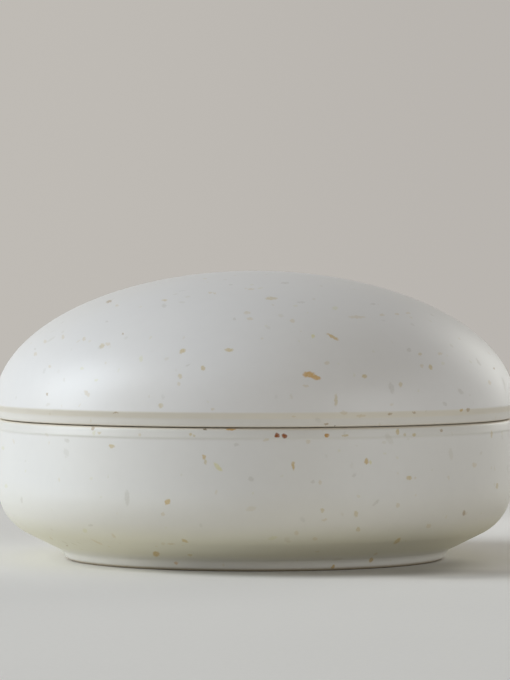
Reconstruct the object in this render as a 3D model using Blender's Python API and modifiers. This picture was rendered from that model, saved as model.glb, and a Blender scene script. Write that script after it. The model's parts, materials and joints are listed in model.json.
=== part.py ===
"""Shampoo bar holder: a round, pebble-like case moulded in off-white, wood-flecked bioplastic.

A domed lid closes over a bowl-shaped base. Inside, a lift-out strainer holds the bar above its own drips.
Lengths are metres, and +Z is up. The origin is on the axis of the case, on the surface that it stands on.
"""

from math import acos, atan, atan2, cos, pi, radians, sin, tan

import bmesh
import bpy
from mathutils import Vector

# The whole case
CASE_RADIUS = 0.0500
CASE_HEIGHT = 0.0558
SEAM_HEIGHT = 0.0271
SIDE_WALL = 0.0032
REST_GAP = 0.0003
ROUND_STEPS = 56
AXIS_MERGE = 0.00001
FILLET_MOST_SHARE = 0.48

# The lid: dome, the narrow band under it, and the skirt that drops inside the base
CROWN_WALL = 0.0030
DOME_CHORDS = 16
DOME_INNER_CHORDS = 11
DOME_STANDOUT = 0.00045
DOME_FOOT_LEAN = radians(11)
BAND_HEIGHT = 0.00265
BAND_DRAW_IN = 0.0008
BAND_TOP_ROUND = 0.0003
BAND_FOOT_ROUND = 0.0003
SKIRT_WALL = 0.0012
SKIRT_DEPTH = 0.0022
SKIRT_GAP = 0.00035
SKIRT_SLACK = 0.0003
SKIRT_ROUND = 0.0003

# The base: rolled rim, upright wall, large corner, sloping underside and foot ring
RIM_ROUND = 0.0012
RIM_STANDOUT = 0.00012
RIM_STEP_HEIGHT = 0.0005
CORNER_RADIUS = 0.0100
CORNER_CHORDS = 8
INNER_CORNER_CHORDS = 4
UNDERSIDE_ANGLE = radians(24)
FOOT_RADIUS = 0.0362
FOOT_HEIGHT = 0.0029
FOOT_FLARE_ANGLE = radians(50)
FOOT_COVE = 0.0040
FOOT_EDGE_ROUND = 0.0003
FOOT_WIDTH = 0.0022
FOOT_RECESS = 0.0012
FOOT_RECESS_DRAFT = 0.0004
FLOOR_WALL = 0.0030
FLOOR_FILLET = 0.0060
SHELF_WIDTH = 0.0018
SHELF_STEP = 0.0008
SHELF_EDGE_ROUND = 0.0003

# The strainer: a dished plate with a raised bead round it, ribs, drain slots and a finger hole
TRAY_GAP = 0.00045
PLATE_THICKNESS = 0.0020
DISH_DEPTH = 0.0014
BEAD_WIDTH = 0.0026
BEAD_HEIGHT = 0.0016
BEAD_DRAFT = 0.0004
BEAD_ROUND = 0.0008
PLATE_FILLET = 0.0008
TRAY_SEAT_ROUND = 0.0004
FINGER_HOLE_RADIUS = 0.0085
FINGER_HOLE_ROUND = 0.0006
RIB_COUNT = 12
RIB_WIDTH = 0.0022
RIB_ROUND = 0.0008
RIB_ROUND_MOST_SHARE = 0.42
RIB_HOLE_MARGIN = 0.0032
RIB_BEAD_MARGIN = 0.0030
SLOT_WIDTH = 0.0028
SLOT_END_SHARE = 0.46
SLOT_RING_GAP = 0.0030
SLOT_RIM_MARGIN = 0.0042
SLOT_HOLE_MARGIN = 0.0050
INNER_RING_SHARE = 0.42
OUTER_SLOTS_PER_RIB = 2
CUT_OVERRUN = 0.0010

# Colours of the moulded bioplastic, and of the plainer resin inside
SHELL_COLOUR = (0.735, 0.715, 0.650, 1.0)
BASE_COLOUR = (0.725, 0.705, 0.640, 1.0)
TRAY_COLOUR = (0.700, 0.675, 0.600, 1.0)
SHELL_ROUGHNESS = 0.34
TRAY_ROUGHNESS = 0.46

# Sizes that follow from the ones above
BORE_RADIUS = CASE_RADIUS - SIDE_WALL
WALL_RADIUS = CASE_RADIUS - RIM_STANDOUT
LID_SEAT = SEAM_HEIGHT + REST_GAP
CORNER_CENTRE_R = WALL_RADIUS - CORNER_RADIUS
FOOT_TOP_R = FOOT_RADIUS + FOOT_HEIGHT / tan(FOOT_FLARE_ANGLE)
UNDERSIDE_END_R = CORNER_CENTRE_R + CORNER_RADIUS * sin(UNDERSIDE_ANGLE)
UNDERSIDE_END_Z = FOOT_HEIGHT + (UNDERSIDE_END_R - FOOT_TOP_R) * tan(UNDERSIDE_ANGLE)
CORNER_CENTRE_Z = UNDERSIDE_END_Z + CORNER_RADIUS * cos(UNDERSIDE_ANGLE)
INNER_CORNER_RADIUS = BORE_RADIUS - CORNER_CENTRE_R
SHELF_RADIUS = BORE_RADIUS - SHELF_WIDTH
SHELF_ANGLE = acos((SHELF_RADIUS - CORNER_CENTRE_R) / INNER_CORNER_RADIUS)
SHELF_HEIGHT = CORNER_CENTRE_Z - INNER_CORNER_RADIUS * sin(SHELF_ANGLE) + SHELF_STEP
TRAY_SEAT = SHELF_HEIGHT + REST_GAP
TRAY_RADIUS = BORE_RADIUS - TRAY_GAP
PLATE_RADIUS = TRAY_RADIUS - BEAD_WIDTH


def arc(centre_r, centre_z, radius_r, radius_z, start, end, chords):
    """Points along a circular or elliptical stretch of a profile, from one angle to the other."""
    points = []
    for step in range(chords + 1):
        angle = start + (end - start) * step / chords
        points.append((centre_r + radius_r * cos(angle), centre_z + radius_z * sin(angle)))
    return points


def rounded(corners):
    """A profile through (r, z) corners, with an arc at each corner that adds a fillet radius and its chords."""
    points = []
    for index, corner in enumerate(corners):
        if len(corner) == 2:
            points.append(corner)
            continue
        here = Vector(corner[:2])
        before = Vector(corners[index - 1][:2]) - here
        after = Vector(corners[(index + 1) % len(corners)][:2]) - here
        half = before.angle(after) / 2
        most = FILLET_MOST_SHARE * min(before.length, after.length)
        reach = min(corner[2] / tan(half), most)
        radius = reach * tan(half)
        towards = (before.normalized() + after.normalized()).normalized()
        centre = here + towards * (radius / sin(half))
        first = here + before.normalized() * reach - centre
        last = here + after.normalized() * reach - centre
        start = atan2(first.y, first.x)
        turn = (atan2(last.y, last.x) - start + pi) % (2 * pi) - pi
        points += arc(centre.x, centre.y, radius, radius, start, start + turn, corner[3])
    return points


def turned(name, outline, closed):
    """An object turned from its outline. At +X, the outline runs down the outer side."""
    mesh = bpy.data.meshes.new(name)
    edges = [(index, index + 1) for index in range(len(outline) - 1)]
    if closed:
        edges.append((len(outline) - 1, 0))
    mesh.from_pydata([(r, 0, z) for r, z in outline], edges, [])
    piece = bpy.data.objects.new(name, mesh)
    screw = piece.modifiers.new("Turn", "SCREW")
    screw.steps = ROUND_STEPS
    screw.render_steps = ROUND_STEPS
    screw.use_merge_vertices = True
    screw.merge_threshold = AXIS_MERGE
    screw.use_smooth_shade = True
    return piece


def moulded_material(name, colour, roughness):
    """The satin bioplastic of one piece."""
    material = bpy.data.materials.new(name)
    material.use_nodes = True
    shader = material.node_tree.nodes["Principled BSDF"]
    shader.inputs["Base Color"].default_value = colour
    shader.inputs["Roughness"].default_value = roughness
    shader.inputs["Metallic"].default_value = 0
    material.diffuse_color = colour
    return material


def lid_outline():
    """The lid's section, with its height counted from the underside of its rim.

    The dome is half an ellipse, but its foot runs straight on at a lean, so that it stands out over the band.
    """
    dome_radius = CASE_RADIUS + DOME_STANDOUT
    crown = CASE_HEIGHT - LID_SEAT - BAND_HEIGHT
    lean_start = atan(tan(DOME_FOOT_LEAN) * crown / dome_radius)
    dome = arc(0, BAND_HEIGHT, dome_radius, crown, pi / 2, lean_start, DOME_CHORDS)
    lean_r, lean_z = dome[-1]
    edge_r = lean_r + (lean_z - BAND_HEIGHT) * tan(DOME_FOOT_LEAN)
    skirt_outer = BORE_RADIUS + SKIRT_WALL
    rim = [
        (edge_r, BAND_HEIGHT, BAND_TOP_ROUND, 2),
        (edge_r - BAND_DRAW_IN, 0, BAND_FOOT_ROUND, 2),
        (skirt_outer, 0),
        (skirt_outer, -SKIRT_DEPTH, SKIRT_ROUND, 1),
        (BORE_RADIUS, -SKIRT_DEPTH, SKIRT_ROUND, 1),
    ]
    inner_crown = crown - CROWN_WALL
    hollow = arc(0, BAND_HEIGHT, BORE_RADIUS, inner_crown, 0, pi / 2, DOME_INNER_CHORDS)
    return rounded(dome + rim + hollow)


def base_outline():
    """The base's section, from the middle of its floor, over the rim and down to the middle of its underside."""
    floor = FOOT_RECESS + FLOOR_WALL
    slope_end = -pi / 2 + UNDERSIDE_ANGLE
    inner_corner = arc(
        CORNER_CENTRE_R,
        CORNER_CENTRE_Z,
        INNER_CORNER_RADIUS,
        INNER_CORNER_RADIUS,
        slope_end,
        -SHELF_ANGLE,
        INNER_CORNER_CHORDS,
    )
    slope_r, slope_z = inner_corner[0]
    floor_edge = slope_r - (slope_z - floor) / tan(UNDERSIDE_ANGLE)
    rebate_radius = BORE_RADIUS + SKIRT_WALL + SKIRT_GAP
    rebate_floor = SEAM_HEIGHT - SKIRT_DEPTH - SKIRT_SLACK
    rim_round = min(RIM_ROUND, (CASE_RADIUS - rebate_radius) * 2 * FILLET_MOST_SHARE)
    rim_foot = SEAM_HEIGHT - rim_round
    rim_roll = arc(CASE_RADIUS - rim_round, rim_foot, rim_round, rim_round, pi / 2, 0, 4)
    outer_corner = arc(
        CORNER_CENTRE_R,
        CORNER_CENTRE_Z,
        CORNER_RADIUS,
        CORNER_RADIUS,
        0,
        slope_end,
        CORNER_CHORDS,
    )
    foot_inner = FOOT_RADIUS - FOOT_WIDTH
    return rounded(
        [(0, floor), (floor_edge, floor, FLOOR_FILLET, 3)]
        + inner_corner
        + [
            (SHELF_RADIUS, SHELF_HEIGHT, SHELF_EDGE_ROUND, 1),
            (BORE_RADIUS, SHELF_HEIGHT, SHELF_EDGE_ROUND, 1),
            (BORE_RADIUS, rebate_floor),
            (rebate_radius, rebate_floor),
            (rebate_radius, SEAM_HEIGHT),
        ]
        + rim_roll
        + [(WALL_RADIUS, rim_foot - RIM_STEP_HEIGHT)]
        + outer_corner
        + [
            (FOOT_TOP_R, FOOT_HEIGHT, FOOT_COVE, 3),
            (FOOT_RADIUS, 0, FOOT_EDGE_ROUND, 2),
            (foot_inner, 0, FOOT_EDGE_ROUND, 1),
            (foot_inner - FOOT_RECESS_DRAFT, FOOT_RECESS, FOOT_EDGE_ROUND, 1),
            (0, FOOT_RECESS),
        ]
    )


def tray_outline():
    """The strainer's section, a closed ring round its finger hole, with its height counted from its seat."""
    bead_top = PLATE_THICKNESS + BEAD_HEIGHT
    return rounded(
        [
            (FINGER_HOLE_RADIUS, PLATE_THICKNESS - DISH_DEPTH, FINGER_HOLE_ROUND, 2),
            (PLATE_RADIUS, PLATE_THICKNESS, PLATE_FILLET, 2),
            (PLATE_RADIUS + BEAD_DRAFT, bead_top, BEAD_ROUND, 2),
            (TRAY_RADIUS, bead_top, BEAD_ROUND, 2),
            (TRAY_RADIUS, 0, TRAY_SEAT_ROUND, 1),
            (PLATE_RADIUS, 0),
            (FINGER_HOLE_RADIUS, -DISH_DEPTH, FINGER_HOLE_ROUND, 2),
        ]
    )


def plate_middle(radius):
    """The height of the middle of the dished plate at this radius."""
    fall = (PLATE_RADIUS - radius) / (PLATE_RADIUS - FINGER_HOLE_RADIUS)
    return PLATE_THICKNESS / 2 - DISH_DEPTH * fall


def upright(edge):
    return edge.verts[0].co.xy == edge.verts[1].co.xy


def lowest(edge):
    return min(corner.co.z for corner in edge.verts)


def rib_mesh(inner, outer):
    """A rib along +X: a level top that the bar lies on, and a foot that is sunk into the dished plate."""
    shape = bmesh.new()
    bmesh.ops.create_cube(shape, size=1)
    for corner in shape.verts:
        reach = outer if corner.co.x > 0 else inner
        top = PLATE_THICKNESS + BEAD_HEIGHT
        height = top if corner.co.z > 0 else plate_middle(reach)
        corner.co = (reach, corner.co.y * RIB_WIDTH, height)
    edges = [edge for edge in shape.edges if upright(edge) or lowest(edge) > PLATE_THICKNESS]
    edge_round = min(RIB_ROUND, RIB_WIDTH * RIB_ROUND_MOST_SHARE)
    bmesh.ops.bevel(shape, geom=edges, offset=edge_round, segments=2, profile=0.5, affect="EDGES")
    mesh = bpy.data.meshes.new("rib")
    shape.to_mesh(mesh)
    shape.free()
    return mesh


def slot_mesh(inner, outer):
    """A cutter for one round-ended drain slot along +X, longer than the plate is thick."""
    below = -DISH_DEPTH - CUT_OVERRUN
    above = PLATE_THICKNESS + CUT_OVERRUN
    shape = bmesh.new()
    bmesh.ops.create_cube(shape, size=1)
    for corner in shape.verts:
        reach = outer if corner.co.x > 0 else inner
        height = above if corner.co.z > 0 else below
        corner.co = (reach, corner.co.y * SLOT_WIDTH, height)
    edges = [edge for edge in shape.edges if upright(edge)]
    end_round = SLOT_WIDTH * SLOT_END_SHARE
    bmesh.ops.bevel(shape, geom=edges, offset=end_round, segments=3, profile=0.5, affect="EDGES")
    mesh = bpy.data.meshes.new("slot")
    shape.to_mesh(mesh)
    shape.free()
    return mesh


def ring_of(mesh, count, first_angle, tray, collection):
    """Copies of one tool, evenly round the strainer's axis, which move with the strainer."""
    for index in range(count):
        tool = bpy.data.objects.new(f"{mesh.name}_{index + 1}", mesh)
        tool.rotation_euler.z = first_angle + 2 * pi * index / count
        tool.parent = tray
        tool.hide_render = True
        tool.display_type = "WIRE"
        collection.objects.link(tool)


def make_lid():
    lid = turned("lid", lid_outline(), closed=False)
    lid.location.z = LID_SEAT
    lid.data.materials.append(moulded_material("lid_bioplastic", SHELL_COLOUR, SHELL_ROUGHNESS))
    return lid


def make_base():
    base = turned("base", base_outline(), closed=False)
    base.data.materials.append(moulded_material("base_bioplastic", BASE_COLOUR, SHELL_ROUGHNESS))
    return base


def make_tray(tools):
    """The strainer: ribs are joined to its plate, and two rings of slots are cut between them."""
    tray = turned("drain_tray", tray_outline(), closed=True)
    tray.location.z = TRAY_SEAT
    tray.data.materials.append(moulded_material("tray_bioplastic", TRAY_COLOUR, TRAY_ROUGHNESS))

    ribs = bpy.data.collections.new("tray_ribs")
    slots = bpy.data.collections.new("tray_slots")
    tools.children.link(ribs)
    tools.children.link(slots)

    rib_start = FINGER_HOLE_RADIUS + RIB_HOLE_MARGIN
    rib_end = PLATE_RADIUS - RIB_BEAD_MARGIN
    ring_of(rib_mesh(rib_start, rib_end), RIB_COUNT, 0, tray, ribs)

    slot_start = FINGER_HOLE_RADIUS + SLOT_HOLE_MARGIN
    slot_end = PLATE_RADIUS - SLOT_RIM_MARGIN
    middle = slot_start + (slot_end - slot_start) * INNER_RING_SHARE
    inner_slot = slot_mesh(slot_start, middle - SLOT_RING_GAP / 2)
    outer_slot = slot_mesh(middle + SLOT_RING_GAP / 2, slot_end)
    outer_count = RIB_COUNT * OUTER_SLOTS_PER_RIB
    ring_of(inner_slot, RIB_COUNT, pi / RIB_COUNT, tray, slots)
    ring_of(outer_slot, outer_count, pi / outer_count, tray, slots)

    for name, operation, collection in (("Ribs", "UNION", ribs), ("Slots", "DIFFERENCE", slots)):
        boolean = tray.modifiers.new(name, "BOOLEAN")
        boolean.solver = "EXACT"
        boolean.operation = operation
        boolean.operand_type = "COLLECTION"
        boolean.collection = collection
    return tray


def make_holder():
    for old in list(bpy.data.objects):
        bpy.data.objects.remove(old)
    holder = bpy.data.collections.new("shampoo_bar_holder")
    tools = bpy.data.collections.new("tray_tools")
    bpy.context.scene.collection.children.link(holder)
    bpy.context.scene.collection.children.link(tools)
    case_axis = bpy.data.objects.new("case_axis", None)
    holder.objects.link(case_axis)
    for piece in (make_base(), make_tray(tools), make_lid()):
        holder.objects.link(piece)
        piece.parent = case_axis


make_holder()
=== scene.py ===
import json
from math import asin, atan, cos, pi, radians, sin, tan

import bmesh
import bpy
from mathutils import Matrix, Vector

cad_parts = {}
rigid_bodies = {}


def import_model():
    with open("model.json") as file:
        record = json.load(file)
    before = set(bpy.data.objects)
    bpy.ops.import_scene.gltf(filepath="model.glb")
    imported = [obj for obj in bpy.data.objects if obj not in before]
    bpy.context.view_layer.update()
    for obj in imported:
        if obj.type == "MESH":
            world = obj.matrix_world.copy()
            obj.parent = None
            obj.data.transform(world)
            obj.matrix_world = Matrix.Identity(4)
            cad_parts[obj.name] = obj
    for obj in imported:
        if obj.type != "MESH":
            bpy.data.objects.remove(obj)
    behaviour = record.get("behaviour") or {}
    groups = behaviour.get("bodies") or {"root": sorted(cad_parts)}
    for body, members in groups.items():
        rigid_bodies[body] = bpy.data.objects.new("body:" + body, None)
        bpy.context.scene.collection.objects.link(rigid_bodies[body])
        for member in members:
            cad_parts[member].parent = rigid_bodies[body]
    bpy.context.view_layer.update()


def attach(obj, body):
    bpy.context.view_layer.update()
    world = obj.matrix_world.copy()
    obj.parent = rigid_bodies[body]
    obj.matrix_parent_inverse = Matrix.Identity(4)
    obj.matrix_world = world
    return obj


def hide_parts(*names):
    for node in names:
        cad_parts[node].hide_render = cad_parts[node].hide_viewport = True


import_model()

bpy.ops.object.select_all(action="DESELECT")
bpy.context.scene.view_settings.view_transform = "Standard"

# Camera
# It stands 0.85 m from the middle of the case, a little above its crown, and looks down by about a degree.
# The long lens fills the picture with the case, whose widest part runs past both sides.
CAMERA_PLACE = (0, -0.850, 0.0596)
CAMERA_PITCH = radians(1.162)
CAMERA_LENS = 231.8
bpy.ops.object.camera_add(location=CAMERA_PLACE, rotation=(pi / 2 - CAMERA_PITCH, 0, 0))
camera = bpy.context.object
camera.name = "camera"
camera.data.lens = CAMERA_LENS
bpy.context.scene.camera = camera

# Table and backdrop
# The case stands on a smooth, pale table top, with painted light that makes it a little paler beside and
# behind the case, and painted shadow that makes it darker under it and in front of its foot. Far off the
# table fades out, in front of a plain pale wall.
# The room gives the wall's colour, and soft, dimmer light from all round.
TABLE_RADIUS = 1.4
TABLE_SIDES = 128
TABLE_COLOUR = (0.825, 0.806, 0.763)
TABLE_ROUGHNESS = 0.6
TABLE_SHINE = 0.3
TABLE_LEAST_SHADE = 0.96
TABLE_GRAIN_DEPTH = 0.05
TABLE_CLOUD_DEPTH = 0.03
TABLE_FADE_MIDDLE = (0.0, -0.155, 0.0)
TABLE_FADE_FROM = 0.300
TABLE_FADE_TO = 0.420
TABLE_FADE_NEAR_SHARE = 0.30
ROOM_STRENGTH = 0.5
WALL_COLOUR_LEFT = (0.520, 0.495, 0.460, 1.0)
WALL_COLOUR_RIGHT = (0.485, 0.460, 0.430, 1.0)
WALL_HALF_VIEW = 0.06

# Scale and detail of each noise
TABLE_GRAIN = (900.0, 3.0)
TABLE_CLOUDS = (14.0, 2.0)

# Middle of each patch, where its fade starts and ends, and how much paler it is in painted light, or darker
# in painted shadow if below 0
TABLE_PAINTED_LIGHT_AND_SHADE = [
    ((-0.055, -0.004, 0.0), 0.0, 0.045, 0.07),
    ((0.062, 0.105, 0.0), 0.0, 0.060, 0.16),
    ((0.009, -0.020, 0.0), 0.025, 0.038, -0.30),
    ((0.037, -0.043, 0.0), 0.006, 0.017, -0.20),
]


class Wire:
    """An output socket of a node tree. Arithmetic on it adds Math nodes, and node() adds any other node."""

    def __init__(self, socket):
        self.socket = socket

    def node(self, kind, settings, inputs, output=0):
        """Adds a node, makes its settings, fills its sockets with values or wires, and gives an output."""
        tree = self.socket.id_data
        made = tree.nodes.new(kind)
        for name, value in settings.items():
            if name == "stops":
                (first_place, first_colour), *others = value
                elements = made.color_ramp.elements
                elements.remove(elements[1])
                elements[0].position, elements[0].color = first_place, first_colour
                for place, colour in others:
                    elements.new(place).color = colour
            else:
                setattr(made, name, value)
        for name, value in inputs.items():
            if isinstance(value, Wire):
                tree.links.new(value.socket, made.inputs[name])
            else:
                made.inputs[name].default_value = value
        return Wire(made.outputs[output])

    def maths(self, operation, other):
        return self.node("ShaderNodeMath", {"operation": operation}, {0: self, 1: other})

    def __add__(self, other):
        return self.maths("ADD", other)

    def __sub__(self, other):
        return self.maths("SUBTRACT", other)

    def __rsub__(self, other):
        return self.node("ShaderNodeMath", {"operation": "SUBTRACT"}, {0: other, 1: self})

    def __mul__(self, other):
        return self.maths("MULTIPLY", other)

    __radd__ = __add__
    __rmul__ = __mul__

    def eased(self, low, high):
        """Rises softly from 0 to 1 as this wire goes from low to high."""
        settings = {"interpolation_type": "SMOOTHSTEP"}
        return self.node("ShaderNodeMapRange", settings, {"Value": self, "From Min": low, "From Max": high})

    def vector_maths(self, operation, second, output="Vector"):
        return self.node("ShaderNodeVectorMath", {"operation": operation}, {0: self, 1: second}, output)

    def squared(self):
        """The squared length of a vector."""
        return self.vector_maths("DOT_PRODUCT", self, "Value")

    def along(self, axis):
        """A vector's part along X, Y or Z."""
        return self.node("ShaderNodeSeparateXYZ", {}, {0: self}, axis)

    def shading(self, colour):
        """A colour, made darker or paler by this wire."""
        return self.node("ShaderNodeVectorMath", {"operation": "SCALE"}, {0: colour, "Scale": self})

    def blended(self, first, second, blend_type="MIX"):
        """The first colour where this wire is 0, and where it is 1 the second, or the blend of both."""
        settings = {"data_type": "RGBA", "blend_type": blend_type}
        return self.node("ShaderNodeMix", settings, {0: self, 6: first, 7: second}, 2)

    def ramp(self, stops):
        """A colour read from stops, which are places from 0 to 1 with their colours."""
        return self.node("ShaderNodeValToRGB", {"stops": stops}, {"Fac": self})

    def noise(self, scale, detail, output=0):
        """Cloudy noise in space, with this wire as its place."""
        values = {"Vector": self, "Scale": scale, "Detail": detail}
        return self.node("ShaderNodeTexNoise", {}, values, output)


def new_material(name):
    """A material with a bare shader, and the wire of the piece's own coordinates."""
    material = bpy.data.materials.new(name)
    material.use_nodes = True
    nodes = material.node_tree.nodes
    return material, nodes["Principled BSDF"], Wire(nodes.new("ShaderNodeTexCoord").outputs["Object"])


def rays(tree, *names):
    """Wires that are 1 for the rays of each name, such as Is Camera Ray."""
    light_path = tree.nodes.new("ShaderNodeLightPath")
    return [Wire(light_path.outputs[name]) for name in names]


def connect(wire, socket):
    socket.id_data.links.new(wire.socket, socket)


def make_table():
    bpy.ops.mesh.primitive_circle_add(vertices=TABLE_SIDES, radius=TABLE_RADIUS, fill_type="NGON")
    table = bpy.context.object
    table.name = "table"
    material, shader, place = new_material("table_top")
    grain = place.noise(*TABLE_GRAIN)
    clouds = place.noise(*TABLE_CLOUDS)
    shade = clouds * TABLE_CLOUD_DEPTH + grain * TABLE_GRAIN_DEPTH + TABLE_LEAST_SHADE
    # Patches of painted light and painted shadow on the table
    for middle, full, reach, strength in TABLE_PAINTED_LIGHT_AND_SHADE:
        away = place.vector_maths("DISTANCE", middle, "Value")
        shade = shade + strength * (1.0 - away.eased(full, reach))
    connect(shade.shading(TABLE_COLOUR), shader.inputs["Base Color"])
    shader.inputs["Roughness"].default_value = TABLE_ROUGHNESS
    shader.inputs["Specular IOR Level"].default_value = TABLE_SHINE

    # The table fades out for the camera alone, so it still sends back light all round. Its near side runs
    # on farther, under a camera that stands back.
    tree = material.node_tree
    from_middle = place.vector_maths("SUBTRACT", TABLE_FADE_MIDDLE)
    drawn_in = from_middle.vector_maths("MULTIPLY", (1.0, TABLE_FADE_NEAR_SHARE, 1.0))
    distance = from_middle.vector_maths("MAXIMUM", drawn_in).vector_maths("LENGTH", (0, 0, 0), "Value")
    faded = distance.eased(TABLE_FADE_FROM, TABLE_FADE_TO)
    (camera_ray,) = rays(tree, "Is Camera Ray")
    clear = faded * camera_ray
    glass = tree.nodes.new("ShaderNodeBsdfTransparent")
    shaders = {0: clear, 1: Wire(shader.outputs[0]), 2: Wire(glass.outputs[0])}
    connect(clear.node("ShaderNodeMixShader", {}, shaders), tree.nodes["Material Output"].inputs["Surface"])
    table.data.materials.append(material)


def make_room():
    """Dim light from all round, seen and mirrored as the wall, which is a little paler on the left."""
    world = bpy.data.worlds.new("room")
    bpy.context.scene.world = world
    world.use_nodes = True
    tree = world.node_tree
    background = tree.nodes["Background"]
    direction = Wire(tree.nodes.new("ShaderNodeTexCoord").outputs["Generated"])
    across = direction.along("X").eased(-WALL_HALF_VIEW, WALL_HALF_VIEW)
    connect(across.blended(WALL_COLOUR_LEFT, WALL_COLOUR_RIGHT), background.inputs["Color"])
    camera_ray, glossy_ray, transmission_ray = rays(
        tree, "Is Camera Ray", "Is Glossy Ray", "Is Transmission Ray"
    )
    seen = camera_ray.maths("MAXIMUM", glossy_ray.maths("MAXIMUM", transmission_ray))
    connect(seen * (1 - ROOM_STRENGTH) + ROOM_STRENGTH, background.inputs["Strength"])


make_table()
make_room()

# Lamps
# A large window on the left, higher than the case, gives the main light. A weaker panel behind on the right
# glances off the shoulder of the lid, and a low one in front on the right lights that side of the case.
# All three are wide, so that shadows have soft edges.
CASE_MIDDLE = Vector((0, 0, 0.027))
LAMP_DISTANCE = 1.3

# Name, azimuth and elevation in degrees, width and height in metres, power in watts, and colour
LAMPS = [
    ("window", -88, 26, (0.7, 1.0), 16.0, (0.84, 0.915, 1.0)),
    ("back_panel", 141, 18, (0.7, 0.7), 3.4, (0.98, 1.0, 0.95)),
    ("front_panel", 50, 12, (0.8, 0.5), 3.3, (0.9, 0.94, 1.0)),
]


def make_lamp(name, azimuth, elevation, size, power, colour):
    """An oblong area lamp that faces the case. Azimuth 0 is the camera's side, and 90 degrees the right."""
    turn, rise = radians(azimuth), radians(elevation)
    towards = Vector((sin(turn) * cos(rise), -cos(turn) * cos(rise), sin(rise)))
    bpy.ops.object.light_add(type="AREA", location=CASE_MIDDLE + towards * LAMP_DISTANCE)
    lamp = bpy.context.object
    lamp.name = name
    lamp.data.shape = "RECTANGLE"
    lamp.data.size, lamp.data.size_y = size
    lamp.data.energy = power
    lamp.data.color = colour
    lamp.visible_camera = False
    lamp.rotation_euler = (-towards).to_track_quat("-Z", "Y").to_euler()


for lamp_values in LAMPS:
    make_lamp(*lamp_values)

# Lid
# The lid is one smooth moulding of satin, off-white bioplastic with wood flecks all through it: a flattened
# dome with a straight foot, a narrow band that draws in a little under it, and a skirt inside that drops
# into the base. It is turned as one closed outline.
CASE_RADIUS = 0.0500
CASE_HEIGHT = 0.0558
DOME_RADIUS = 0.05045
DOME_FOOT_LEAN = radians(11)
DOME_CHORDS = 72
CROWN_WALL = 0.0030
BORE_RADIUS = 0.0468
BAND_TOP = 0.03005
BAND_TOP_REACH = 0.00022
BAND_WAIST = 0.0289
BAND_WAIST_IN = 0.0007
BAND_WAIST_REACH = 0.0004
BAND_DRAW_IN = 0.0009
BAND_FOOT_REACH = 0.0003
BAND_STEPS = 4
BAND_FOOT_STEPS = 5
LID_SEAT = 0.0274
SKIRT_RADIUS = 0.0480
SKIRT_FOOT = 0.0252
SKIRT_REACH = 0.0003
SKIRT_STEPS = 4
TURN_STEPS = 240
SMOOTH_ANGLE = radians(40)
MERGE_DISTANCE = 0.000002
START_SIZE = 0.001
LID_COLOUR = (0.735, 0.722, 0.700, 1.0)
SHELL_ROUGHNESS = 0.42

# Painted shade and painted reflection by height, on a ramp that spans the case: the tint at each height,
# from the seam up. The seam and the band under the dome are darker and warmer, in place of the shade there
# and of the warm table that the band mirrors.
TINT_SPAN = 0.060
LID_PAINTED_SHADE = [
    (LID_SEAT, (1.0, 0.93, 0.80, 1.0)),
    (LID_SEAT + 0.0003, (0.965, 0.945, 0.89, 1.0)),
    (BAND_WAIST - 0.0001, (0.965, 0.945, 0.89, 1.0)),
    (BAND_WAIST + 0.0001, (0.98, 0.935, 0.83, 1.0)),
    (BAND_TOP - 0.0001, (0.98, 0.935, 0.83, 1.0)),
    (BAND_TOP + 0.0001, (1.0, 1.0, 1.0, 1.0)),
]


def bow(middle_z, radius, rise, start, end, chords, middle_r=0.0):
    """Points along a round or flattened stretch of an outline, between two angles in radians."""
    points = []
    for step in range(chords + 1):
        angle = start + (end - start) * step / chords
        points.append((middle_r + radius * cos(angle), middle_z + rise * sin(angle)))
    return points


def picked(piece, test):
    """In edit mode, selects the corners that pass a test, with the edges and faces between them."""
    bpy.ops.mesh.select_mode(type="VERT")
    shape = bmesh.from_edit_mesh(piece.data)
    for corner in shape.verts:
        corner.select_set(test(corner.co))
    shape.select_flush_mode()
    bmesh.update_edit_mesh(piece.data)


def turned_piece(name, outline, steps=TURN_STEPS):
    """A piece drawn as an outline of (r, z) corners, then spun round the case's axis.

    The outline is drawn with the extrude tool. Two more numbers round a corner: how far from it the
    rounding starts, and its steps.
    """
    (start_r, start_z), *others = [corner[:2] for corner in outline]
    bpy.ops.mesh.primitive_plane_add(size=START_SIZE, location=(start_r, 0, start_z))
    piece = bpy.context.object
    piece.name = name
    bpy.ops.object.transform_apply()
    bpy.ops.object.mode_set(mode="EDIT")
    bpy.ops.mesh.select_all(action="SELECT")
    bpy.ops.mesh.merge(type="CENTER")
    bpy.ops.mesh.select_mode(type="VERT")
    last_r, last_z = start_r, start_z
    for r, z in others:
        bpy.ops.mesh.extrude_region_move(TRANSFORM_OT_translate={"value": (r - last_r, 0, z - last_z)})
        last_r, last_z = r, z
    bpy.ops.mesh.select_all(action="SELECT")
    bpy.ops.mesh.remove_doubles(threshold=MERGE_DISTANCE)
    for corner in outline:
        if len(corner) > 2:
            place = Vector((corner[0], 0, corner[1]))
            picked(piece, lambda at: (at - place).length < MERGE_DISTANCE)
            bpy.ops.mesh.bevel(affect="VERTICES", offset=corner[2], segments=corner[3])
    bpy.ops.mesh.select_all(action="SELECT")
    bpy.ops.mesh.spin(steps=steps, angle=2 * pi, center=(0, 0, 0), axis=(0, 0, 1))
    bpy.ops.mesh.select_all(action="SELECT")
    bpy.ops.mesh.remove_doubles(threshold=MERGE_DISTANCE)
    bpy.ops.mesh.normals_make_consistent(inside=False)
    bpy.ops.object.mode_set(mode="OBJECT")
    bpy.ops.object.shade_smooth_by_angle(angle=SMOOTH_ANGLE)
    return piece


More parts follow.
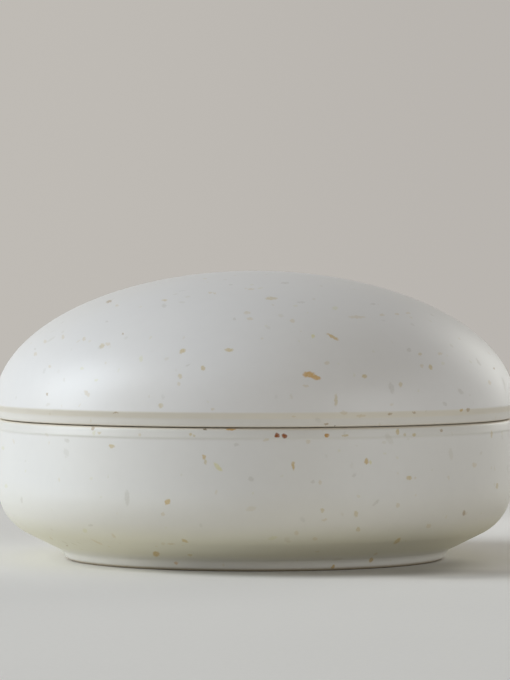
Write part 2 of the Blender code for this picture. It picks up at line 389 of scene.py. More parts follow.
def make_lid():
    crown = CASE_HEIGHT - BAND_TOP
    lean_start = atan(tan(DOME_FOOT_LEAN) * crown / DOME_RADIUS)
    dome = bow(BAND_TOP, DOME_RADIUS, crown, pi / 2, lean_start, DOME_CHORDS)
    lean_r, lean_z = dome[-1]
    edge_r = lean_r + (lean_z - BAND_TOP) * tan(DOME_FOOT_LEAN)
    hollow = bow(BAND_TOP, BORE_RADIUS, crown - CROWN_WALL, 0, pi / 2, DOME_CHORDS // 2)
    rim = [
        (edge_r, BAND_TOP, BAND_TOP_REACH, BAND_STEPS),
        (edge_r - BAND_WAIST_IN, BAND_WAIST, BAND_WAIST_REACH, BAND_STEPS),
        (edge_r - BAND_DRAW_IN, LID_SEAT, BAND_FOOT_REACH, BAND_FOOT_STEPS),
        (SKIRT_RADIUS, LID_SEAT),
        (SKIRT_RADIUS, SKIRT_FOOT, SKIRT_REACH, SKIRT_STEPS),
        (BORE_RADIUS, SKIRT_FOOT, SKIRT_REACH, SKIRT_STEPS),
    ]
    return turned_piece("lid_moulding", dome + rim + hollow)


# The resin itself is faintly cloudy, and warmer in some places than in others.
RESIN_CLOUDS = (55.0, 3.0)
RESIN_CLOUD_DEPTH = 0.05
RESIN_HAZE = (420.0, 2.0)
RESIN_HAZE_DEPTH = 0.03
RESIN_LEAST_SHADE = 0.96
WARM_PLACES = (28.0, 1.0)
WARM_FROM = 0.35
WARM_TO = 0.70
WARM_STRENGTH = 0.5
WARM_TINT = (1.0, 0.985, 0.945, 1.0)

# Its skin is satin, with faint waves and finer pores. The haze varies its gloss, and flecks are duller.
SKIN_WAVES = (230.0, 2.0)
SKIN_WAVE_SHARE = 0.6
SKIN_PORES = (1400.0, 1.0)
SKIN_PORE_SHARE = 0.06
SKIN_STRENGTH = 0.25
SKIN_DEPTH = 0.00005
RESIN_IOR = 1.47
HAZE_ROUGHNESS = 0.08
FLECK_ROUGHNESS = 0.10

# Each fleck is a chip of wood with a ragged, soft edge. Its tone multiplies the colour of the resin.
NOISE_MIDDLE = (0.5, 0.5, 0.5)
RAGGED_EDGE = (2000.0, 2.0)
RAGGED_REACH = (0.00055, 0.00055, 0.00055)
CHIP_EDGE_FROM = 0.35
CHIP_EDGE_TO = 1.5
CHIP_GRAIN = (2600.0, 1.0)
CHIP_GRAIN_FROM = 0.25
CHIP_GRAIN_TO = 0.60
CHIP_GRAIN_SHARE = 0.25
FLECK_TONES = {
    "rust": (0.38, 0.10, 0.0, 1.0),
    "orange": (0.70, 0.37, 0.05, 1.0),
    "ochre": (0.84, 0.56, 0.24, 1.0),
    "amber": (0.83, 0.66, 0.38, 1.0),
    "straw": (0.85, 0.74, 0.50, 1.0),
    "oat": (0.88, 0.81, 0.64, 1.0),
    "pale": (0.93, 0.88, 0.78, 1.0),
    "yellow": (0.95, 0.92, 0.62, 1.0),
    "cream": (0.955, 0.955, 0.83, 1.0),
    "grey": (0.885, 0.875, 0.85, 1.0),
    "brown": (0.70, 0.60, 0.48, 1.0),
    "dark": (0.34, 0.29, 0.22, 1.0),
}

# The outside is where the surface faces away from the middle of the case. Its front has its flecks where
# the photograph shows them, and ends between two depths in Y, and above the table between two heights.
OUTSIDE_FROM = -0.0006
FRONT_DEPTHS = (-0.0025, 0.0)
FRONT_HEIGHTS = (0.0014, 0.0018)
PHOTO_WIDTH = 510
PHOTO_HEIGHT = 680
SENSOR_WIDTH = 36.0
TILT_STEP = 15
FLECK_MOST_GRAZING = 0.15
FLECK_LEAST_DEPTH = 0.0008

# Elsewhere strong flecks lie at random, and faint ones lie everywhere. Each layer has its cells to the
# metre, the half sizes of its chips, the share of the cells that has one, its strength off the front, and
# its tones. A layer without such a strength is as strong all over.
WOOD_STOPS = [
    (0.0, FLECK_TONES["ochre"]),
    (0.2, FLECK_TONES["amber"]),
    (0.4, FLECK_TONES["straw"]),
    (0.6, FLECK_TONES["oat"]),
    (0.8, FLECK_TONES["pale"]),
    (1.0, FLECK_TONES["brown"]),
]
FAINT_STOPS = [
    (0.0, (0.93, 0.93, 0.92, 1.0)),
    (0.4, (0.96, 0.93, 0.86, 1.0)),
    (0.7, (0.97, 0.97, 0.89, 1.0)),
    (1.0, (0.94, 0.93, 0.91, 1.0)),
]
SCATTERED_LAYERS = [
    (150.0, (0.0014, 0.0006, 0.0005), 0.50, 1.0, WOOD_STOPS),
    (290.0, (0.0007, 0.0004, 0.0003), 0.35, 1.0, WOOD_STOPS),
    (170.0, (0.0016, 0.0003, 0.0003), 0.30, 0.7, WOOD_STOPS),
    (200.0, (0.0011, 0.0006, 0.0005), 0.45, None, FAINT_STOPS),
    (400.0, (0.0006, 0.0004, 0.0003), 0.35, None, FAINT_STOPS),
]

# Each chip is shrunk by chance: its squared distances grow by the least factor, or by up to the range more.
CHIP_SHRINK_LEAST = 0.5
CHIP_SHRINK_RANGE = 2.2


def placed_chips(piece, flecks):
    """Finds where each fleck of the photograph lies on a piece.

    A fleck is (x, y, length, width, tilt, tone) in pixels and degrees. Gives, for each tone and tilt, the
    middles and half sizes of upright chips in the piece's surface, in axes that are turned by the tilt.
    """
    bpy.context.view_layer.update()
    focal = CAMERA_LENS / SENSOR_WIDTH * PHOTO_HEIGHT
    turn = camera.matrix_world.to_3x3()
    right, up, back = (turn @ Vector(axis) for axis in ((1, 0, 0), (0, 1, 0), (0, 0, 1)))
    chips = {}
    for x, y, length, width, tilt, tone in flecks:
        towards = right * (x - PHOTO_WIDTH / 2) + up * (PHOTO_HEIGHT / 2 - y) - back * focal
        found, place, normal, _ = piece.ray_cast(camera.location, towards.normalized())
        if not found:
            continue
        pixel = (place - camera.location).dot(-back) / focal
        tilt = round(tilt / TILT_STEP) * TILT_STEP
        depth = width * pixel / max(abs(normal.y), FLECK_MOST_GRAZING) + FLECK_LEAST_DEPTH
        middle = Matrix.Rotation(radians(tilt), 3, "Y") @ place
        half_sizes = Vector((length * pixel / 2, depth, width * pixel / 2))
        chips.setdefault(tone, {}).setdefault(tilt, []).append((middle, half_sizes))
    return chips


def chip_mask(distance):
    """1 in the middle of a chip, whose edge is soft and lies where its squared distance is about 1."""
    return 1.0 - distance.eased(CHIP_EDGE_FROM, CHIP_EDGE_TO)


def scattered(place, scale, half_sizes, share):
    """One chip in each cell of a random pattern in space, turned at random, in a share of the cells.

    Gives the chips' mask and a random wire that is the same all over a chip.
    """
    values = {"Vector": place, "Scale": scale}
    position = place.node("ShaderNodeTexVoronoi", {}, values, "Position")
    random_colour = place.node("ShaderNodeTexVoronoi", {}, values, "Color")
    chance = place.node("ShaderNodeTexWhiteNoise", {}, {"Vector": random_colour})
    turn = random_colour.vector_maths("MULTIPLY", (2 * pi, 2 * pi, 2 * pi))
    offset = place.vector_maths("SUBTRACT", position)
    settings = {"rotation_type": "EULER_XYZ"}
    turned = place.node("ShaderNodeVectorRotate", settings, {"Vector": offset, "Rotation": turn})
    distance = turned.vector_maths("MULTIPLY", tuple(1 / size for size in half_sizes)).squared()
    shrunk = chance * CHIP_SHRINK_RANGE * (1 / share) + CHIP_SHRINK_LEAST
    present = chance.maths("LESS_THAN", share)
    return chip_mask(distance * shrunk) * present, chance * (1 / share)


def with_scattered_flecks(resin, ragged, unseen):
    """The resin's colour with the random flecks laid over it, and the mask of all of them."""
    all_flecks = None
    for scale, half_sizes, share, strength, stops in SCATTERED_LAYERS:
        mask, chance = scattered(ragged, scale, half_sizes, share)
        if strength is not None:
            mask = mask * (unseen * strength)
        resin = mask.blended(resin, chance.ramp(stops), "MULTIPLY")
        all_flecks = mask if all_flecks is None else all_flecks.maths("MAXIMUM", mask)
    return resin, all_flecks


def with_placed_flecks(resin, all_flecks, place, ragged, chips):
    """The same colour and mask, with the flecks that the photograph shows laid over them."""
    grain = place.noise(*CHIP_GRAIN).eased(CHIP_GRAIN_FROM, CHIP_GRAIN_TO)
    tilted = {}
    for tone, by_tilt in chips.items():
        nearest = None
        for tilt, tilted_chips in by_tilt.items():
            if tilt not in tilted:
                values = {"Vector": ragged, "Angle": radians(tilt)}
                tilted[tilt] = ragged.node("ShaderNodeVectorRotate", {"rotation_type": "Y_AXIS"}, values)
            for middle, half_sizes in tilted_chips:
                shrink = Vector(1 / size for size in half_sizes)
                values = {0: tilted[tilt], 1: shrink, 2: -middle * shrink}
                inside = ragged.node("ShaderNodeVectorMath", {"operation": "MULTIPLY_ADD"}, values)
                distance = inside.squared()
                nearest = distance if nearest is None else nearest.maths("MINIMUM", distance)
        mask = chip_mask(nearest) * (grain * CHIP_GRAIN_SHARE + (1 - CHIP_GRAIN_SHARE))
        resin = mask.blended(resin, FLECK_TONES[tone], "MULTIPLY")
        all_flecks = all_flecks.maths("MAXIMUM", mask)
    return resin, all_flecks


def flecked_bioplastic(name, colour, roughness, painted_shading, chips):
    """Satin off-white bioplastic with flecks of wood, and with these chips where the photograph shows them.

    The fifth argument holds heights, from the lowest up, each with the colour that the resin's outside is
    multiplied
    by there: painted light and shade.
    """
    material, shader, place = new_material(name)
    wobble = place.noise(*RAGGED_EDGE, output="Color").vector_maths("SUBTRACT", NOISE_MIDDLE)
    ragged = place.vector_maths("ADD", wobble.vector_maths("MULTIPLY", RAGGED_REACH))

    clouds = place.noise(*RESIN_CLOUDS)
    haze = place.noise(*RESIN_HAZE)
    shade = clouds * RESIN_CLOUD_DEPTH + haze * RESIN_HAZE_DEPTH + RESIN_LEAST_SHADE
    warm = place.noise(*WARM_PLACES).eased(WARM_FROM, WARM_TO) * WARM_STRENGTH
    warm_colour = tuple(part * tint for part, tint in zip(colour, WARM_TINT))
    resin = shade.shading(warm.blended(colour, warm_colour))

    height = place.along("Z")
    normal = Wire(place.socket.node.outputs["Normal"])
    outwards = place.vector_maths("SUBTRACT", CASE_MIDDLE).vector_maths("DOT_PRODUCT", normal, "Value")
    outside = outwards.maths("GREATER_THAN", OUTSIDE_FROM)
    # Painted light and shade: the outside's colour is multiplied by a tint that changes with height.
    if painted_shading:
        stops = [(level / TINT_SPAN, tint) for level, tint in painted_shading]
        resin = outside.blended(resin, (height * (1 / TINT_SPAN)).ramp(stops), "MULTIPLY")

    unseen = 1.0 - (1.0 - place.along("Y").eased(*FRONT_DEPTHS)) * outside * height.eased(*FRONT_HEIGHTS)
    resin, all_flecks = with_scattered_flecks(resin, ragged, unseen)
    if chips:
        resin, all_flecks = with_placed_flecks(resin, all_flecks, place, ragged, chips)
    connect(resin, shader.inputs["Base Color"])

    least_rough = roughness - HAZE_ROUGHNESS / 2
    connect(haze * HAZE_ROUGHNESS + all_flecks * FLECK_ROUGHNESS + least_rough, shader.inputs["Roughness"])
    skin = place.noise(*SKIN_WAVES) * SKIN_WAVE_SHARE + place.noise(*SKIN_PORES) * SKIN_PORE_SHARE
    values = {"Strength": SKIN_STRENGTH, "Distance": SKIN_DEPTH, "Height": skin}
    connect(skin.node("ShaderNodeBump", {}, values), shader.inputs["Normal"])
    shader.inputs["IOR"].default_value = RESIN_IOR
    return material


# Flecks from the photograph: across, down, length and width in pixels, tilt in degrees, and tone
LID_FLECKS = [
    (102, 346, 6, 5, 60, "oat"), (108, 344, 6, 3, 5, "pale"), (182.5, 351, 7, 4, 30, "straw"),
    (229, 350, 9, 3.2, 0, "straw"), (203, 368, 4.5, 5, 0, "straw"), (180, 376, 4.5, 5, 0, "oat"),
    (179, 384, 3, 4, 0, "pale"), (160.7, 405.7, 5, 5, 0, "oat"), (164.7, 300, 6, 2.2, -5, "oat"),
    (164, 305.5, 5, 4, 0, "grey"), (210, 292.8, 4, 2, 0, "pale"), (214.5, 293.3, 4, 2, -15, "pale"),
    (87, 393.5, 8, 4, -45, "pale"), (47.2, 394, 2.5, 3, 0, "brown"), (84, 339, 4, 4, 0, "pale"),
    (63, 337, 3, 5, 0, "pale"), (45, 341.5, 4, 3, 30, "pale"), (35.5, 354, 4, 4, 0, "pale"),
    (35, 349, 3, 2, 0, "grey"), (123, 334, 2.2, 2, 0, "brown"), (107, 321.5, 3.5, 2, 0, "grey"),
    (109, 301.5, 6, 2.6, 15, "brown"), (117, 305.5, 4, 2, 0, "pale"), (50, 366.5, 3, 3, 0, "pale"),
    (82, 368.5, 4, 3, 0, "cream"), (96, 380, 4, 3, 0, "cream"), (141, 359, 4, 6, 0, "cream"),
    (188, 365, 6, 1.6, 25, "grey"), (231, 284.5, 4, 1.5, 0, "grey"),
    (251, 289, 8, 1.5, 0, "pale"), (247.3, 312.7, 7, 3, 0, "pale"), (250, 318.7, 7, 3, 0, "pale"),
    (234.4, 318.8, 3, 3, 0, "grey"), (271.4, 298.4, 12, 3, 0, "oat"), (285, 283, 9, 2, 0, "grey"),
    (301, 302.4, 8, 2, 0, "grey"), (292.4, 321, 5, 4, 0, "pale"), (335, 308, 6, 4, 0, "cream"),
    (313, 336, 4, 4, 0, "yellow"), (333, 337, 14, 3, -30, "amber"), (357, 317, 18, 3, 4, "pale"),
    (382, 315, 6, 2.5, 0, "pale"), (397, 314, 5, 2, 0, "pale"), (408, 313, 5, 2, 0, "pale"),
    (373, 304, 6, 2, 0, "grey"), (309, 374.5, 12.5, 6, -5, "ochre"), (315, 377, 12.5, 4.5, -8, "ochre"),
    (306, 386, 6, 3, 0, "pale"), (327, 363, 5, 4, 0, "pale"), (336, 400, 12, 3.6, -83, "oat"),
    (364.6, 376.4, 6, 4, 0, "straw"), (391.5, 388, 12, 5, -75, "grey"), (400.7, 384.5, 4, 5, 0, "oat"),
    (409, 350, 5, 4, 0, "grey"), (420, 354, 4, 3, 0, "oat"), (422, 366, 4, 4, 0, "pale"),
    (430.7, 367, 5, 4, -60, "straw"), (440, 353.7, 5, 3, 0, "pale"), (478.5, 362, 9, 2.5, -60, "grey"),
    (494, 368.4, 2, 2, 0, "brown"), (489.6, 382.7, 5, 3, -60, "pale"), (460.6, 391.6, 8, 4, -45, "grey"),
    (444.8, 403.9, 6, 4, -30, "grey"), (212.8, 409, 4, 3, 0, "pale"), (115.5, 412.5, 7, 1.4, 0, "brown"),
    (344, 412.7, 8, 4, 0, "pale"), (361, 415.8, 10, 3, 0, "pale"), (390, 414, 5, 2.5, 0, "brown"),
    (414, 412.7, 3.5, 2.5, 0, "brown"), (461.5, 410.4, 3.5, 3, 0, "amber"), (468, 410, 4, 4, 0, "brown"),
    (294, 416.3, 4, 2, 0, "pale"), (326.2, 424, 5, 2, 0, "brown"), (335, 426, 2, 1.5, 0, "dark"),
]

lid = make_lid()
lid_chips = placed_chips(lid, LID_FLECKS)
lid_resin = flecked_bioplastic("lid_flecked_bioplastic", LID_COLOUR, SHELL_ROUGHNESS, LID_PAINTED_SHADE, lid_chips)
lid.data.materials.append(lid_resin)
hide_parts("lid")
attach(lid, "lid")

# Base
# The base is a shallow bowl of the same moulded bioplastic. Its rim stands out by a fine step, leans in and
# is rolled at the top, its wall is upright, and a large round corner runs under into a narrower foot ring.
# Inside are a rebate for the lid's skirt, a shelf for the drain tray, and a floor that holds the drips.
SEAM_HEIGHT = 0.0272
RIM_ROUND = 0.0007
RIM_CHORDS = 8
RIM_TOP_RADIUS = 0.04983
RIM_TILT = radians(8)
RIM_FOOT = 0.02535
RIM_STEP = 0.0002
WALL_RADIUS = 0.04988
CORNER_MIDDLE = (0.03988, 0.01422)
CORNER_RADIUS = 0.0100
CORNER_CHORDS = 28
INNER_CORNER_RADIUS = 0.00692
INNER_CORNER_CHORDS = 12
UNDERSIDE_ANGLE = radians(26.5)
REBATE_RADIUS = 0.04835
REBATE_FLOOR = 0.0246
SHELF_RADIUS = 0.0450
SHELF_HEIGHT = 0.010546
SHELF_FACE = 0.0008
SHELF_EDGE_REACH = 0.0003
SHELF_EDGE_STEPS = 4
FLOOR_HEIGHT = 0.0042
FLOOR_EDGE = 0.0333
FLOOR_FILLET_REACH = 0.0013
FLOOR_FILLET_STEPS = 8
FOOT_TOP = (0.0374, 0.0018)
FOOT_TOP_REACH = 0.0007
FOOT_TOP_STEPS = 8
FOOT_RADIUS = 0.0366
FOOT_EDGE_REACH = 0.0009
FOOT_EDGE_STEPS = 6
FOOT_WIDTH = 0.0022
FOOT_RECESS = 0.0012
FOOT_RECESS_REACH = 0.0003
FOOT_RECESS_STEPS = 3
FOOT_DRAFT = 0.0004
BASE_COLOUR = (0.734, 0.721, 0.696, 1.0)

# Painted light and shade by height, as the tint at each height: a painted contact shadow as the dark line
# of the foot, painted light a little paler on the foot, painted light bounced warm from the table on the
# underside, the wall, painted shade darker on the rim, and painted shade in the seam
BASE_PAINTED_LIGHT_AND_SHADE = [
    (0.0, (0.62, 0.52, 0.36, 1.0)),
    (0.0003, (0.72, 0.62, 0.46, 1.0)),
    (0.0006, (1.06, 1.05, 1.0, 1.0)),
    (0.0016, (1.06, 1.05, 0.99, 1.0)),
    (0.0032, (1.0, 0.975, 0.80, 1.0)),
    (0.0060, (1.0, 0.975, 0.80, 1.0)),
    (0.0095, (1.0, 0.985, 0.91, 1.0)),
    (0.0160, (1.0, 1.0, 0.98, 1.0)),
    (0.0250, (1.0, 1.0, 0.99, 1.0)),
    (0.0253, (0.95, 0.94, 0.90, 1.0)),
    (0.0256, (0.94, 0.935, 0.905, 1.0)),
    (SEAM_HEIGHT - 0.0004, (0.94, 0.935, 0.905, 1.0)),
    (SEAM_HEIGHT, (1.0, 0.93, 0.80, 1.0)),
]

BASE_FLECKS = [
    (92.7, 428.5, 4, 3.5, 0, "brown"), (94, 433, 3.5, 5, 0, "cream"), (99.3, 433, 4, 3, 0, "oat"),
    (111.7, 446, 6, 4, -15, "straw"), (139.7, 435, 3, 4, 0, "pale"), (190.6, 434.5, 3, 3, 0, "straw"),
    (194, 435.5, 3, 2.5, 0, "oat"), (204.7, 429.3, 4, 2, 0, "dark"), (230.7, 429.5, 10, 2.2, 0, "ochre"),
    (67, 440.7, 6, 4, -20, "grey"), (3, 448, 4, 4, 0, "cream"), (6, 486, 4, 4, 0, "cream"),
    (21.7, 500, 2.4, 7, 0, "grey"), (236.7, 444.5, 5, 4, 0, "grey"), (266, 440, 6, 3, 15, "pale"),
    (204, 457, 5, 4, -60, "amber"), (205.5, 462, 6, 3, -75, "oat"), (218, 467, 12, 4, -48, "yellow"),
    (167.5, 502, 7, 5, 40, "amber"), (163, 514, 4, 4, 0, "pale"), (127, 498, 16, 5, 88, "grey"),
    (85, 530.7, 5, 5, 0, "cream"), (90.4, 525.3, 5, 3, 0, "grey"), (97.4, 542.3, 14, 2.2, -25, "pale"),
    (114, 536, 6, 3, -45, "pale"), (67, 545.7, 2.5, 1.5, 0, "brown"), (51.4, 538.5, 6, 1.6, -40, "pale"),
    (185, 541, 8, 3, -25, "straw"), (171, 544, 9, 2, 0, "pale"), (156, 554, 7, 7, 0, "amber"),
    (190, 555, 5, 3, 0, "oat"), (251, 479, 6, 5, 0, "grey"),
    (277.1, 435.5, 5.6, 5, 0, "rust"), (284.3, 435.8, 5.2, 5, 0, "rust"), (327, 435.5, 5, 3.8, 0, "orange"),
    (345, 435.5, 7, 2.2, 0, "straw"), (397.5, 432, 3.5, 6, 0, "straw"), (405, 434.8, 3, 3, 0, "oat"),
    (414, 434.8, 4, 3, 0, "straw"), (441.4, 430.4, 3, 3, 0, "brown"), (491.6, 434.2, 2.5, 7.5, 0, "oat"),
    (308.3, 441.8, 5, 4, 0, "pale"), (293, 464.5, 3.6, 6, 0, "amber"), (293.3, 467, 2.4, 7, 0, "amber"),
    (366.5, 461.5, 4.5, 6, 0, "amber"), (370.5, 462.5, 3, 4, 0, "yellow"), (409, 478, 6, 4, 0, "straw"),
    (415, 478, 2.4, 2.4, 0, "pale"), (354, 476, 4, 3, 0, "grey"), (320, 482.5, 3, 5, 0, "pale"),
    (313, 482, 5, 3, 0, "grey"), (497, 486, 3, 6, 0, "oat"), (474.5, 465, 5, 5, 0, "pale"),
    (322.5, 510.5, 4, 5, 0, "oat"), (324.5, 520, 6, 3, 15, "pale"), (356, 514, 4, 7, 0, "oat"),
    (358, 529, 4, 5, 0, "oat"), (376, 502.5, 9, 3, 50, "grey"), (397.7, 505.3, 4, 5, 0, "pale"),
    (464, 513, 3.5, 6, 0, "brown"), (397.3, 541, 10, 4, 38, "straw"), (371, 560, 4, 6, -30, "amber"),
    (375.5, 554, 5, 3, 40, "pale"), (296.5, 533, 4, 5, 0, "pale"), (273, 538, 9, 4, 15, "cream"),
    (315, 539, 5, 4, 0, "pale"), (428.6, 526, 5, 5, 0, "pale"),
]


def make_base():
    corner_r, corner_z = CORNER_MIDDLE
    under = -pi / 2 + UNDERSIDE_ANGLE
    inner_radius = INNER_CORNER_RADIUS
    shelf_angle = asin((corner_z - SHELF_HEIGHT + SHELF_FACE) / inner_radius)
    inner = bow(corner_z, inner_radius, inner_radius, under, -shelf_angle, INNER_CORNER_CHORDS, corner_r)
    roll_r, roll_z = RIM_TOP_RADIUS - RIM_ROUND, SEAM_HEIGHT - RIM_ROUND
    roll = bow(roll_z, RIM_ROUND, RIM_ROUND, pi / 2, RIM_TILT, RIM_CHORDS, roll_r)
    corner = bow(corner_z, CORNER_RADIUS, CORNER_RADIUS, 0, under, CORNER_CHORDS, corner_r)
    foot_inner = FOOT_RADIUS - FOOT_WIDTH
    inside = [
        (SHELF_RADIUS, SHELF_HEIGHT, SHELF_EDGE_REACH, SHELF_EDGE_STEPS),
        (BORE_RADIUS, SHELF_HEIGHT, SHELF_EDGE_REACH, SHELF_EDGE_STEPS),
        (BORE_RADIUS, REBATE_FLOOR),
        (REBATE_RADIUS, REBATE_FLOOR),
        (REBATE_RADIUS, SEAM_HEIGHT),
    ]
    rim_step = [
        (CASE_RADIUS - RIM_STEP * tan(RIM_TILT), RIM_FOOT + RIM_STEP),
        (CASE_RADIUS, RIM_FOOT),
        (WALL_RADIUS, RIM_FOOT - RIM_STEP),
        (WALL_RADIUS, RIM_FOOT - 2 * RIM_STEP),
    ]
    foot = [
        (*FOOT_TOP, FOOT_TOP_REACH, FOOT_TOP_STEPS),
        (FOOT_RADIUS, 0, FOOT_EDGE_REACH, FOOT_EDGE_STEPS),
        (foot_inner, 0, FOOT_RECESS_REACH, FOOT_RECESS_STEPS),
        (foot_inner - FOOT_DRAFT, FOOT_RECESS, FOOT_RECESS_REACH, FOOT_RECESS_STEPS),
        (0, FOOT_RECESS),
    ]
    floor = [(0, FLOOR_HEIGHT), (FLOOR_EDGE, FLOOR_HEIGHT, FLOOR_FILLET_REACH, FLOOR_FILLET_STEPS)]
    return turned_piece("base_moulding", floor + inner + inside + roll + rim_step + corner + foot)


base = make_base()
base_chips = placed_chips(base, BASE_FLECKS)
base_resin = flecked_bioplastic(
    "base_flecked_bioplastic", BASE_COLOUR, SHELL_ROUGHNESS, BASE_PAINTED_LIGHT_AND_SHADE, base_chips
)
base.data.materials.append(base_resin)
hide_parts("base")
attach(base, "base")

# Drain tray
# The strainer is a loose, dished moulding of the same bioplastic that lies on the base's shelf. It has a
# bead round it, twelve ribs for the bar, two rings of round-ended slots for the drips, and a finger hole to
# lift it by. The slots of a ring are cut with copies of one cutter, and the ribs are copies of one.
TRAY_SEAT = 0.010846
TRAY_RADIUS = 0.04635
TRAY_STEPS = 120
PLATE_RADIUS = 0.04375
PLATE_THICKNESS = 0.0020
DISH_DEPTH = 0.0014
FINGER_HOLE_RADIUS = 0.0085
FINGER_HOLE_REACH = 0.0006
BEAD_HEIGHT = 0.0016
BEAD_DRAFT = 0.0004
BEAD_REACH = 0.0008
BEAD_STEPS = 5
TRAY_SEAT_REACH = 0.0004
TRAY_SEAT_STEPS = 3
RIB_COUNT = 12
RIB_WIDTH = 0.0022
RIB_FROM = 0.0117
RIB_TO = 0.04075
RIB_ROUND = 0.0008
RIB_ROUND_STEPS = 4
SLOT_WIDTH = 0.0028
SLOT_END_STEPS = 20
INNER_SLOTS = (0.0135, 0.02294)
OUTER_SLOTS = (0.02594, 0.03955)
CUTTER_DEPTH = 0.0012
PICK_MARGIN = 0.0001
TRAY_COLOUR = (0.715, 0.695, 0.645, 1.0)
TRAY_ROUGHNESS = 0.46

# Each step of the cutter's flare: how far it rises, and how much wider it gets
SLOT_FLARE = ((0.00022, 1.04), (0.00016, 1.09), (0.00008, 1.10), (0.0010, 1.60))


def dish_fall(r):
    """How far the dished plate lies below its edge, at a distance from the axis."""
    return (PLATE_RADIUS - r) / (PLATE_RADIUS - FINGER_HOLE_RADIUS) * DISH_DEPTH


def make_tray_plate():
    top = TRAY_SEAT + PLATE_THICKNESS
    bead_top = top + BEAD_HEIGHT
    hole_top = top - DISH_DEPTH
    hole_foot = TRAY_SEAT - DISH_DEPTH
    outline = [
        (FINGER_HOLE_RADIUS, (hole_top + hole_foot) / 2),
        (FINGER_HOLE_RADIUS, hole_top, FINGER_HOLE_REACH, BEAD_STEPS),
        (PLATE_RADIUS, top, BEAD_REACH, BEAD_STEPS),
        (PLATE_RADIUS + BEAD_DRAFT, bead_top, BEAD_REACH, BEAD_STEPS),
        (TRAY_RADIUS, bead_top, BEAD_REACH, BEAD_STEPS),
        (TRAY_RADIUS, TRAY_SEAT, TRAY_SEAT_REACH, TRAY_SEAT_STEPS),
        (PLATE_RADIUS, TRAY_SEAT),
        (FINGER_HOLE_RADIUS, hole_foot, FINGER_HOLE_REACH, BEAD_STEPS),
        (FINGER_HOLE_RADIUS, (hole_top + hole_foot) / 2),
    ]
    return turned_piece("drain_tray_moulding", outline, TRAY_STEPS)


def slot_cutter(start, end):
    """A round-ended cutter along +X, flared at both faces of the plate to round the slot's edges."""
    middle_x, middle_z = start + SLOT_WIDTH / 2, TRAY_SEAT + PLATE_THICKNESS / 2
    bpy.ops.mesh.primitive_cylinder_add(
        vertices=SLOT_END_STEPS,
        radius=SLOT_WIDTH / 2,
        depth=CUTTER_DEPTH,
        location=(middle_x, 0, middle_z),
        rotation=(0, 0, pi / SLOT_END_STEPS),
    )
    cutter = bpy.context.object
    bpy.ops.object.transform_apply()
    bpy.ops.object.mode_set(mode="EDIT")
    for side in (1, -1):
        picked(cutter, lambda at: (at.z - middle_z) * side > CUTTER_DEPTH / 2 - PICK_MARGIN)
        for rise, spread in SLOT_FLARE:
            move = {"value": (0, 0, side * rise)}
            bpy.ops.mesh.extrude_region_move(TRANSFORM_OT_translate=move)
            bpy.ops.transform.resize(value=(spread, spread, 1), center_override=(middle_x, 0, middle_z))
    picked(cutter, lambda at: at.x > middle_x)
    bpy.ops.transform.translate(value=(end - start - SLOT_WIDTH, 0, 0))
    bpy.ops.mesh.select_all(action="SELECT")
    bpy.ops.mesh.normals_make_consistent(inside=False)

    # The cutter leans with the dished plate, corner by corner, because the shear tool needs a window.
    for corner in bmesh.from_edit_mesh(cutter.data).verts:
        corner.co.z -= dish_fall(corner.co.x)
    bmesh.update_edit_mesh(cutter.data)
    bpy.ops.object.mode_set(mode="OBJECT")
    return cutter


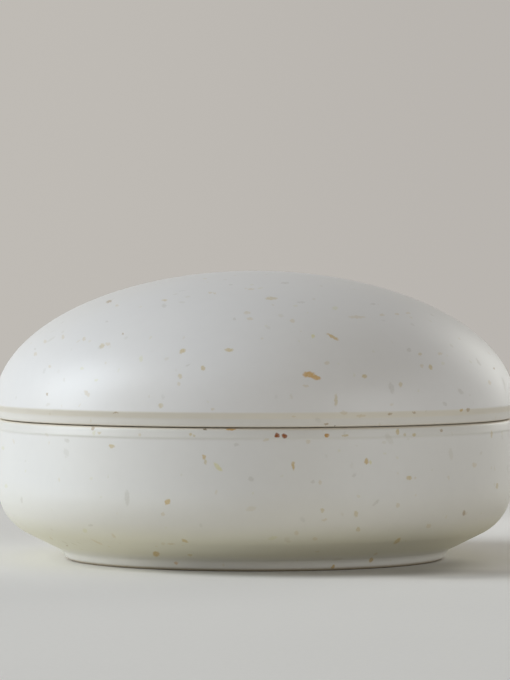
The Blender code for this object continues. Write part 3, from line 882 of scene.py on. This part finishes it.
def rib_block():
    """A rib along +X, with a level, rounded top and a foot that is sunk into the dished plate."""
    top = TRAY_SEAT + PLATE_THICKNESS + BEAD_HEIGHT
    foot = TRAY_SEAT + PLATE_THICKNESS / 2
    bpy.ops.mesh.primitive_cube_add(size=1, location=((RIB_FROM + RIB_TO) / 2, 0, (top + foot) / 2))
    rib = bpy.context.object
    rib.scale = (RIB_TO - RIB_FROM, RIB_WIDTH, top - foot)
    bpy.ops.object.transform_apply()
    bpy.ops.object.mode_set(mode="EDIT")

    # The underside is left open while the upright and upper edges are rounded, and closed again afterwards.
    picked(rib, lambda at: at.z < foot + PICK_MARGIN)
    bpy.ops.mesh.delete(type="ONLY_FACE")
    picked(rib, lambda at: at.z < foot + PICK_MARGIN and at.x < RIB_FROM + PICK_MARGIN)
    bpy.ops.transform.translate(value=(0, 0, -dish_fall(RIB_FROM)))
    bpy.ops.mesh.select_all(action="SELECT")
    bpy.ops.mesh.select_mode(type="EDGE")
    for edge in bmesh.from_edit_mesh(rib.data).edges:
        edge.select_set(max(corner.co.z for corner in edge.verts) > top - PICK_MARGIN)
    bmesh.update_edit_mesh(rib.data)
    bpy.ops.mesh.bevel(affect="EDGES", offset=RIB_ROUND, segments=RIB_ROUND_STEPS)
    bpy.ops.mesh.select_all(action="DESELECT")
    bpy.ops.mesh.select_non_manifold()
    bpy.ops.mesh.edge_face_add()
    bpy.ops.mesh.select_all(action="SELECT")
    bpy.ops.mesh.normals_make_consistent(inside=False)
    bpy.ops.object.mode_set(mode="OBJECT")
    return rib


def ring_of(tool, count, first_angle, collection):
    """Copies of one rib or cutter, each with its own mesh, evenly round the axis."""
    for index in range(count):
        copy = tool.copy()
        copy.data = tool.data.copy()
        collection.objects.link(copy)
        copy.data.transform(Matrix.Rotation(first_angle + 2 * pi * index / count, 4, "Z"))
    bpy.data.objects.remove(tool)


def make_tray():
    tray = make_tray_plate()
    ribs = bpy.data.collections.new("ribs")
    slots = bpy.data.collections.new("slots")
    bpy.context.scene.collection.children.link(ribs)
    bpy.context.scene.collection.children.link(slots)
    ring_of(rib_block(), RIB_COUNT, 0, ribs)
    ring_of(slot_cutter(*INNER_SLOTS), RIB_COUNT, pi / RIB_COUNT, slots)
    ring_of(slot_cutter(*OUTER_SLOTS), 2 * RIB_COUNT, pi / (2 * RIB_COUNT), slots)
    bpy.context.view_layer.objects.active = tray
    tray.select_set(True)
    for operation, tools in (("DIFFERENCE", slots), ("UNION", ribs)):
        boolean = tray.modifiers.new(operation, "BOOLEAN")
        boolean.solver = "EXACT"
        boolean.operation = operation
        boolean.operand_type = "COLLECTION"
        boolean.collection = tools
        bpy.ops.object.modifier_apply(modifier=boolean.name)
    for tools in (ribs, slots):
        for tool in list(tools.objects):
            bpy.data.objects.remove(tool)
        bpy.data.collections.remove(tools)
    bpy.ops.object.shade_smooth_by_angle(angle=SMOOTH_ANGLE)
    weighted = tray.modifiers.new("weighted", "WEIGHTED_NORMAL")
    weighted.keep_sharp = True
    bpy.ops.object.modifier_apply(modifier=weighted.name)
    return tray


tray = make_tray()
tray_resin = flecked_bioplastic("tray_flecked_bioplastic", TRAY_COLOUR, TRAY_ROUGHNESS, [], {})
tray.data.materials.append(tray_resin)
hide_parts("drain_tray")
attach(tray, "drain_tray")
